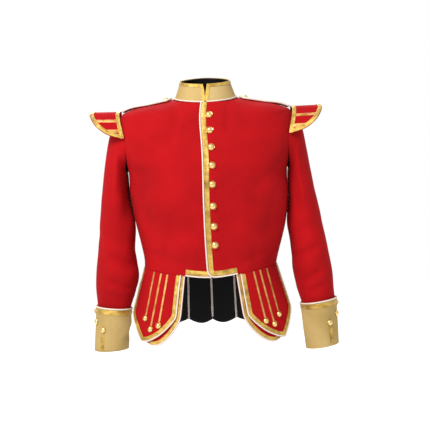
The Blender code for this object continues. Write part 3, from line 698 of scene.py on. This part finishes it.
GOLD_BRAID = braid("gilt wire braid", "7A5A20", "B48F3B", "D6B961")
WHITE_CORD = cotton("white cotton piping cord", "AFA094", "E0D2C6")

piping = round_cord(PIPING_RADIUS, 0.0010, PIPING_RADIUS)
edging = flat(0.0046, 0.0046 + BRAID_WIDTH, 0.0013)
trims = {}


def lay_cord(name, cloth, line, towards, section=piping, nodes=(), closed=False):
    """Sews on white piping cord."""
    return lay(name, cloth, line, towards, section, WHITE_CORD, "white_piping", nodes, closed)


def lay_braid(name, cloth, line, towards, section, nodes=()):
    """Sews on gold braid."""
    return lay(name, cloth, line, towards, section, GOLD_BRAID, "gold_braid", nodes)


def lay_pair(label, cloth, line, towards, cord_nodes=(), braid_nodes=(), width=edging):
    """A white cord on the very edge, and gold braid beside it."""
    cord = lay_cord(f"{label}_piping_cord", cloth, line, towards, nodes=cord_nodes)
    gold = lay_braid(f"{label}_gold_braid", cloth, line, towards, width, braid_nodes)
    return [cord, gold]


# Front edge: the left front is trimmed from the collar down, round its corner and along the hem to
# the flap, and the right front along the hem, where it shows below the lap.
FRONT_EDGE = ((-0.013, -0.072, -0.009), (0.072, -0.118, -0.466), (-0.015, -0.14, -0.30))
RIGHT_HEM = ((0.0005, -0.12, -0.467), (-0.072, -0.118, -0.466), (-0.04, -0.12, -0.467))
LEFT_CHEST, RIGHT_CHEST = (0.10, -0.13, -0.25), (-0.04, -0.13, -0.30)

left, right = fronts["left"], fronts["right"]
line = between(left.edges[0], *FRONT_EDGE)
trims["front_panel_left"] = lay_pair("front_edge", left, line, LEFT_CHEST, ["front_piping"], ["front_braid"])
line = between(right.edges[0], *RIGHT_HEM)
trims["front_panel_right"] = lay_pair("hem", right, line, RIGHT_CHEST, ["hem_piping"], ["hem_braid"])

# Collar trimming: narrower braid round the collar's two ends and along its top, and a cord sewn
# over the seam at its base.
COLLAR_TOP = ((0.004, -0.072, -0.004), (-0.004, -0.072, -0.004), (0, 0.059, 0.066))
COLLAR_BASE = ((0.004, -0.072, -0.008), (-0.004, -0.072, -0.008), (0, 0.062, 0.018))
BELOW_COLLAR, ABOVE_COLLAR = (0, 0, -0.3), (0, 0, 0.3)
COLLAR_BRAID = flat(0.0001, 0.0088, 0.0012)
COLLAR_CORD = round_cord(0.0016, 0.0014, PIPING_RADIUS)

line = between(collar.edges[0], *COLLAR_TOP)
gold = lay_braid("collar_gold_braid", collar, line, BELOW_COLLAR, COLLAR_BRAID, ["collar_braid"])
line = between(collar.edges[0], *COLLAR_BASE)
cord = lay_cord("collar_piping_cord", collar, line, ABOVE_COLLAR, COLLAR_CORD, ["collar_piping"])
trims["collar_cloth"] = [gold, cord]

# Cuff trimming: a cord and half-inch braid round the top of the cuff, and a strip of braid that
# runs down from the front button nearly to the cuff's lower edge.
STRIP_WIDTH, STRIP_RISE, STRIP_POINTS = 0.0112, 0.0011, 12
STRIP_FROM, STRIP_TO, STRIP_LEAN = 0.0125, -0.6555, 0.002
CORNER_TURN, TOP_POINTS = math.radians(70), 40


def stretches(edge):
    """The parts of a closed edge between its sharp corners."""
    count = len(edge)
    ways = [edge[(k + 1) % count] - edge[k] for k in range(count)]
    corners = [k for k in range(count) if ways[k - 1].angle(ways[k]) > CORNER_TURN]
    parts = []
    for first, last in zip(corners, corners[1:] + corners[:1]):
        parts.append([edge[(first + k) % count] for k in range((last - first) % count + 1)])
    return parts


def height(line):
    """How high a line lies on average."""
    return sum(point.z for point in line) / len(line)


def strip(name, cloth, start, end, width, material):
    """A straight strip of braid laid on the cloth from one place to another."""
    start, end = Vector(start), Vector(end)
    line = []
    for k in range(STRIP_POINTS + 1):
        spot, normal = cloth.tree.find_nearest(start.lerp(end, k / STRIP_POINTS))[:2]
        line.append(spot - normal.cross(end - start).normalized() * width / 2)
    section = flat(0.0, width, STRIP_RISE)
    return lay(name, cloth, line, start.lerp(end, 0.5), section, material, "gold_braid")


def seen_at(cloth, x, z):
    """The point of the cloth that faces the front at this place."""
    return cloth.tree.ray_cast(Vector((x, -1, z)), Vector((0, 1, 0)))[0]


for hand, side in HANDS:
    cuff = cuffs[hand]
    top = max((part for part in stretches(cuff.edges[0]) if len(part) > TOP_POINTS), key=height)
    label, below = f"cuff_{hand}", CUFF_AXES[hand][1]
    pair = lay_pair(label, cuff, top, below, [f"cuff_piping_{hand}"], [f"cuff_braid_{hand}"])
    low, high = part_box(f"cuff_button_front_{hand}")
    x, z = (low[0] + high[0]) / 2, (low[2] + high[2]) / 2 - STRIP_FROM
    upper, lower = seen_at(cuff, x, z), seen_at(cuff, x + STRIP_LEAN * side, STRIP_TO)
    pair.append(strip(f"cuff_strip_{hand}", cuff, upper, lower, STRIP_WIDTH, GOLD_BRAID))
    trims[f"cuff_cloth_{hand}"] = pair

# Flap trimming: a cord round the very edge and braid inside it, on the front and under flaps, and
# three stripes of narrow braid down each front flap to its buttons. The tails have a cord down
# their sides only.
STRIPE_WIDTH, STRIPE_START, EDGE_LEAN, POINT_REACH = 0.0052, 0.02, 0.6, 8
STRIPE_TOPS = ((0.1102, -0.0986, -0.4535), (0.1269, -0.0890, -0.4507), (0.1456, -0.0739, -0.4478))
STRIPE_SHIFT = {"left": 0.0, "right": -0.004}
FLAP_EDGING = flat(0.0040, 0.0136, 0.0012)
UNDER_EDGING = flat(0.0046, 0.0126, 0.0007)
TAIL_CORD = round_cord(0.0013, -0.0014, 0.0017)
SCALLOP_RISE = 0.012
STRIPE_BRAID = braid("narrow copper gilt braid", "8C5620", "C98B42", "DDB274")


def hanging_edge(edge):
    """A flap's edge from its inner corner at the waist, down round its point and up to the outer."""
    inner = max(edge, key=lambda p: p.z - EDGE_LEAN * abs(p.x))
    outer = max(edge, key=lambda p: p.z + EDGE_LEAN * abs(p.x))
    return between(edge, inner, outer, min(edge, key=lambda p: p.z))


def middle_of(edge):
    """The average of an edge's points."""
    return sum(edge, Vector()) / len(edge)


for hand, side in HANDS:
    flap = flaps["front_flap", hand]
    line = hanging_edge(flap.edges[0])
    nodes = [f"front_flap_braid_{hand}"]
    pair = lay_pair(f"front_flap_{hand}", flap, line, middle_of(line), (), nodes, FLAP_EDGING)
    for number, (x, y, z) in enumerate(STRIPE_TOPS, 1):
        low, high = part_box(f"flap_button_{number}_{hand}")
        end = (Vector(low) + Vector(high)) / 2
        start = Vector((x * side + STRIPE_SHIFT[hand], y, z)).lerp(end, STRIPE_START)
        name = f"flap_stripe_{number}_{hand}"
        pair.append(strip(name, flap, start, end, STRIPE_WIDTH, STRIPE_BRAID))
    trims[f"front_flap_cloth_{hand}"] = pair

    flap = flaps["under_flap", hand]
    line = hanging_edge(flap.edges[0])
    lowest = min(range(len(line)), key=lambda k: line[k].z)
    line, middle = line[: lowest + POINT_REACH], middle_of(line)
    cord = lay_cord(f"under_flap_piping_cord_{hand}", flap, line, middle)
    gold = lay_braid(f"under_flap_gold_braid_{hand}", flap, line, middle, UNDER_EDGING)
    trims[f"under_flap_cloth_{hand}"] = [cord, gold]

    for kind in ("side_tail", "back_tail"):
        tail = flaps[kind, hand]
        line = hanging_edge(tail.edges[0])
        middle, lowest = middle_of(line), min(range(len(line)), key=lambda k: line[k].z)
        trims[f"{kind}_cloth_{hand}"] = []
        for label, part in (("inner", line[:lowest]), ("outer", line[lowest:])):
            part = [point for point in part if point.z > line[lowest].z + SCALLOP_RISE]
            cord = lay_cord(f"{kind}_{label}_piping_cord_{hand}", tail, part, middle, TAIL_CORD)
            trims[f"{kind}_cloth_{hand}"].append(cord)

# Wing and strap trimming: braid along the wing's outer edge and its seam, four stripes of narrow
# braid between, and a cord round the shoulder strap.
WING_STRIPES = (
    ((0.2240, -0.0550, -0.0490), (0.3020, -0.0600, -0.0480)),
    ((0.2210, -0.0720, -0.0760), (0.2700, -0.0790, -0.0750)),
    ((0.2240, 0.0550, -0.0490), (0.3020, 0.0600, -0.0480)),
    ((0.2210, 0.0720, -0.0760), (0.2700, 0.0790, -0.0750)),
)
WING_STRIPE_WIDTH, STRIPE_ENDS = 0.0095, (0.12, 0.92)
WING_SEAM, BODY_SIDE, FAR_SIDE = (0.227, 0, -0.022), (0, 0, -0.06), (0.6, 0, -0.06)
WING_EDGING = flat(0.0004, 0.0004 + 0.0105, 0.0013)
STRAP_CORD = round_cord(-0.0006, 0.0012, 0.0029)

for hand, side in HANDS:
    wing = wings[hand]
    edge = wing.edges[0]
    front_end = min((p for p in edge if p.y < 0), key=lambda p: p.z)
    back_end = min((p for p in edge if p.y > 0), key=lambda p: p.z)
    outermost = max(edge, key=lambda p: side * p.x)
    outer = between(edge, front_end, back_end, outermost)
    seam, far_side = on_side(side, (WING_SEAM, FAR_SIDE))
    inner = between(edge, front_end, back_end, seam)
    nodes = [f"wing_braid_{hand}"]
    laid = [
        lay_braid(f"wing_gold_braid_{hand}", wing, outer, BODY_SIDE, WING_EDGING, nodes),
        lay_braid(f"wing_seam_braid_{hand}", wing, inner, far_side, WING_EDGING),
    ]
    for number, ends in enumerate(WING_STRIPES, 1):
        near, far = (Vector(point) for point in on_side(side, ends))
        near, far = (near.lerp(far, share) for share in STRIPE_ENDS)
        laid.append(strip(f"wing_stripe_{number}_{hand}", wing, near, far, WING_STRIPE_WIDTH, STRIPE_BRAID))
    trims[f"wing_cloth_{hand}"] = laid
    strap = straps[hand]
    line = strap.edges[0]
    name, middle = f"strap_piping_cord_{hand}", middle_of(line)
    trims[f"strap_cloth_{hand}"] = [lay_cord(name, strap, line, middle, STRAP_CORD, closed=True)]

# Buttons: domed shells of gilt brass with a rolled rim over a flat back. Eight large ones close
# the front, and small ones sit on the cuffs, the flaps and the shoulder straps.
LARGE_BUTTON, SMALL_BUTTON, BUTTON_RISE = 0.0095, 0.0080, 0.0012
DOME_CUT, RIM_EDGE = 0.36, math.radians(40)
MARK_SCALE, MARK_HEIGHT = 420.0, 0.0002
# Rim: how many times wider each turn of it is than the last, and how far up, on a dome of radius 1
RIM = ((1.015, -0.03), (1.05, 0.012), (1.02, -0.03), (1.0, -0.05), (0.96, -0.04), (0.9, 0.0))


def brass(name, dark, bright):
    """Gilt brass: polished on the dome, with the small marks and duller hollows of wear."""
    made, shader = finish(name, Metallic=1.0, Roughness=0.26)
    at = add(made, "ShaderNodeTexCoord")["Object"]
    marks = add(made, "ShaderNodeTexNoise", [("Vector", at), ("Scale", MARK_SCALE), ("Detail", 4.0)])["Fac"]
    ramp = add(made, "ShaderNodeValToRGB", [("Fac", marks)])
    stops = made.node_tree.nodes["Color Ramp"].color_ramp.elements
    stops[0].position, stops[0].color = 0.25, colour(dark)
    stops[1].position, stops[1].color = 0.6, colour(bright)
    bump = add(made, "ShaderNodeBump", [("Height", marks), ("Strength", 0.12), ("Distance", MARK_HEIGHT)])
    made.node_tree.links.new(ramp["Color"], shader.inputs["Base Color"])
    made.node_tree.links.new(bump["Normal"], shader.inputs["Normal"])
    return made


GILT_BRASS = brass("gilt brass", "B48D48", "EDCB88")


def model_button():
    """A dome cut from a sphere, drawn out into a rolled rim and closed with a flat back."""
    bpy.ops.object.select_all(action="DESELECT")
    bpy.ops.mesh.primitive_uv_sphere_add(segments=32, ring_count=24, radius=1.0)
    made = bpy.context.object
    bpy.ops.object.mode_set(mode="EDIT")
    bpy.ops.mesh.select_all(action="SELECT")
    bpy.ops.mesh.bisect(plane_co=(0, 0, DOME_CUT), plane_no=(0, 0, 1), clear_inner=True)
    for wider, up in RIM:
        bpy.ops.mesh.extrude_region_move(TRANSFORM_OT_translate={"value": (0, 0, up)})
        bpy.ops.transform.resize(value=(wider, wider, 1))
    bpy.ops.mesh.edge_face_add()
    bpy.ops.mesh.select_all(action="SELECT")
    bpy.ops.mesh.normals_make_consistent(inside=False)
    bpy.ops.object.mode_set(mode="OBJECT")
    return made


pattern = model_button()
pattern_radius = max(math.hypot(v.co.x, v.co.y) for v in pattern.data.vertices)
pattern_back = min(v.co.z for v in pattern.data.vertices)


def sew_button(node, cloth, radius):
    """A copy of the button, set on the cloth where its node is."""
    low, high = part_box(node)
    place = (Vector(low) + Vector(high)) / 2
    seat, facing = cloth.tree.find_nearest(place)[:2]
    turn = facing.to_track_quat("Z", "Y").to_matrix()
    piece = from_mesh(f"{node}_gilt", pattern.data.copy())
    size = radius / pattern_radius
    for vert in piece.data.vertices:
        rise = (vert.co.z - pattern_back) * size + BUTTON_RISE
        vert.co = seat + turn @ Vector((vert.co.x * size, vert.co.y * size, rise))
    piece.data.materials.append(GILT_BRASS)
    pick(piece)
    bpy.ops.object.shade_smooth_by_angle(angle=RIM_EDGE)
    belong(piece, "gilt_buttons", node)
    return piece


for number in range(1, 9):
    button = sew_button(f"front_button_{number}", fronts["left"], LARGE_BUTTON)
    trims["front_panel_left"].append(button)
for hand, side in HANDS:
    for label in ("front", "middle", "back"):
        button = sew_button(f"cuff_button_{label}_{hand}", cuffs[hand], SMALL_BUTTON)
        trims[f"cuff_cloth_{hand}"].append(button)
    for number in (1, 2, 3):
        button = sew_button(f"flap_button_{number}_{hand}", flaps["front_flap", hand], SMALL_BUTTON)
        trims[f"front_flap_cloth_{hand}"].append(button)
    trims[f"strap_cloth_{hand}"].append(sew_button(f"strap_button_{hand}", straps[hand], SMALL_BUTTON))
bpy.data.objects.remove(pattern)

# Floor: a plain pale sheet of paper, well below the jacket. It is nearly as bright as the white
# background and gives back a little light from below.
FLOOR_SIZE, FLOOR_PLACE, PAPER_WHITE = 9.0, (0, 1.5, -1.05), 0.98

bpy.ops.object.select_all(action="DESELECT")
bpy.ops.mesh.primitive_plane_add(size=FLOOR_SIZE, location=FLOOR_PLACE)
floor = bpy.context.object
floor.name = "studio_floor"
paper, _ = finish("pale paper", Roughness=0.9, Base_Color=(PAPER_WHITE, PAPER_WHITE, PAPER_WHITE, 1))
floor.data.materials.append(paper)

# Camera and lamps: the photographer stands three metres off at chest height with a long lens, and
# the picture is turned by two degrees. One lamp lights the front from above, one the back.
EYE, AIM, LENS, ROLL = (0.0148, -3.0, -0.19), (0.0148, 0.0, -0.3084), 93, -2.0
LAMPS = (("key", (-0.95, -1.45, 1.20), 0.7, 54), ("back", (-0.6, 2.6, 1.8), 1.6, 45))
CHEST = (0, 0, -0.3)

camera = bpy.data.objects.new("photographer", bpy.data.cameras.new("photographer"))
bpy.context.scene.collection.objects.link(camera)
level = (Vector(AIM) - Vector(EYE)).to_track_quat("-Z", "Y").to_matrix()
camera.location = EYE
camera.rotation_euler = (level @ Matrix.Rotation(math.radians(ROLL), 3, "Z")).to_euler()
camera.data.lens = LENS
camera.data.sensor_width = 36
bpy.context.scene.camera = camera
bpy.context.scene.view_settings.view_transform = "Standard"

for name, place, size, power in LAMPS:
    lamp = bpy.data.objects.new(name, bpy.data.lights.new(name, "AREA"))
    lamp.data.energy = power
    lamp.data.size = size
    lamp.location = place
    lamp.rotation_euler = (Vector(CHEST) - lamp.location).to_track_quat("-Z", "Y").to_euler()
    bpy.context.scene.collection.objects.link(lamp)
world = bpy.data.worlds.new("studio")
world.use_nodes = True
background = world.node_tree.nodes["Background"]
background.inputs["Color"].default_value = (1, 1, 1, 1)
background.inputs["Strength"].default_value = 1.0
bpy.context.scene.world = world
